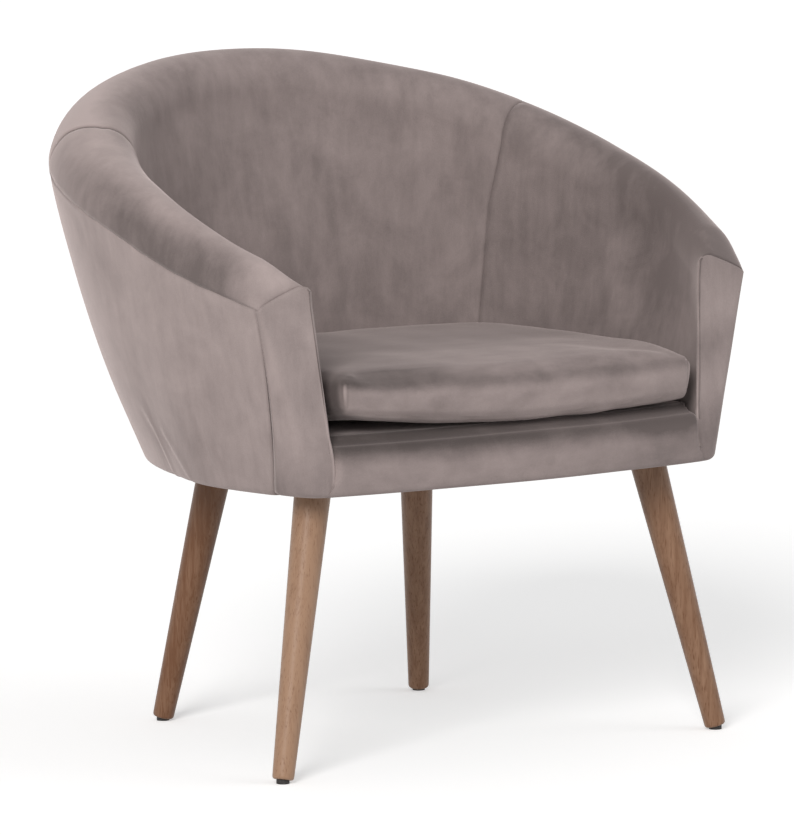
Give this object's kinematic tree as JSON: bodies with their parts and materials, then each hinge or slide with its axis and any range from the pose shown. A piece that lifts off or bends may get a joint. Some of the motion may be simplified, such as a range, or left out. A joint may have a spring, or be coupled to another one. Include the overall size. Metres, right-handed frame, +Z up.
{
  "type": "tub chair",
  "caption": "Upholstered tub chair: a curved velvet bucket that rises from the arms to the back, a loose seat cushion and splayed tapered round legs.",
  "frame": {"origin": "centre of the bounding box in plan, at the floor under the feet", "axes": "+Z up, -Y the way the sitter faces, +X to the right of someone who looks at the chair from the front"},
  "size_m": [0.7534, 0.6546, 0.7656],
  "materials": {
    "velvet": "matte",
    "seat_velvet": "matte",
    "beech": "satin",
    "frame_timber": "matte",
    "board": "matte",
    "foam": "matte",
    "black_cloth": "matte",
    "steel": "satin",
    "dark_rubber": "matte"
  },
  "bodies": {
    "root": {"inside_arm_cover_right": "velvet", "outside_arm_cover_right": "velvet", "arm_facing_right": "velvet", "arm_foam_right": "foam", "arm_lining_right": "board", "arm_top_rail_right": "frame_timber", "arm_front_post_right": "frame_timber", "arm_middle_post_right": "frame_timber", "back_post_right": "frame_timber", "seat_side_rail_right": "frame_timber", "inside_arm_cover_left": "velvet", "outside_arm_cover_left": "velvet", "arm_facing_left": "velvet", "arm_foam_left": "foam", "arm_lining_left": "board", "arm_top_rail_left": "frame_timber", "arm_front_post_left": "frame_timber", "arm_middle_post_left": "frame_timber", "back_post_left": "frame_timber", "seat_side_rail_left": "frame_timber", "inside_back_cover": "velvet", "outside_back_cover": "velvet", "back_foam": "foam", "back_lining": "board", "back_top_rail": "frame_timber", "seat_back_rail": "frame_timber", "seat_front_rail": "frame_timber", "base_board": "board", "dust_cover": "black_cloth", "deck_pad": "foam", "deck_cover": "velvet", "front_border_cover": "velvet", "front_border_pad": "foam", "seat_spring_1": "steel", "seat_spring_2": "steel", "seat_spring_3": "steel", "seat_spring_4": "steel", "leg_front_left": "beech", "leg_bolt_front_left": "steel", "leg_plate_front_left": "steel", "leg_block_front_left": "frame_timber", "leg_glide_front_left": "dark_rubber", "leg_front_right": "beech", "leg_bolt_front_right": "steel", "leg_plate_front_right": "steel", "leg_block_front_right": "frame_timber", "leg_glide_front_right": "dark_rubber", "leg_rear_left": "beech", "leg_bolt_rear_left": "steel", "leg_plate_rear_left": "steel", "leg_block_rear_left": "frame_timber", "leg_glide_rear_left": "dark_rubber", "leg_rear_right": "beech", "leg_bolt_rear_right": "steel", "leg_plate_rear_right": "steel", "leg_block_rear_right": "frame_timber", "leg_glide_rear_right": "dark_rubber"},
    "cushion": {"cushion_cover": "seat_velvet", "cushion_foam_core": "foam", "cushion_zip": "black_cloth"}
  },
  "joints": [
    {"name": "cushion_lift", "type": "slide", "parent": "root", "child": "cushion", "axis": [0, 0, 1], "range_m": [0, 0.35]}
  ]
}
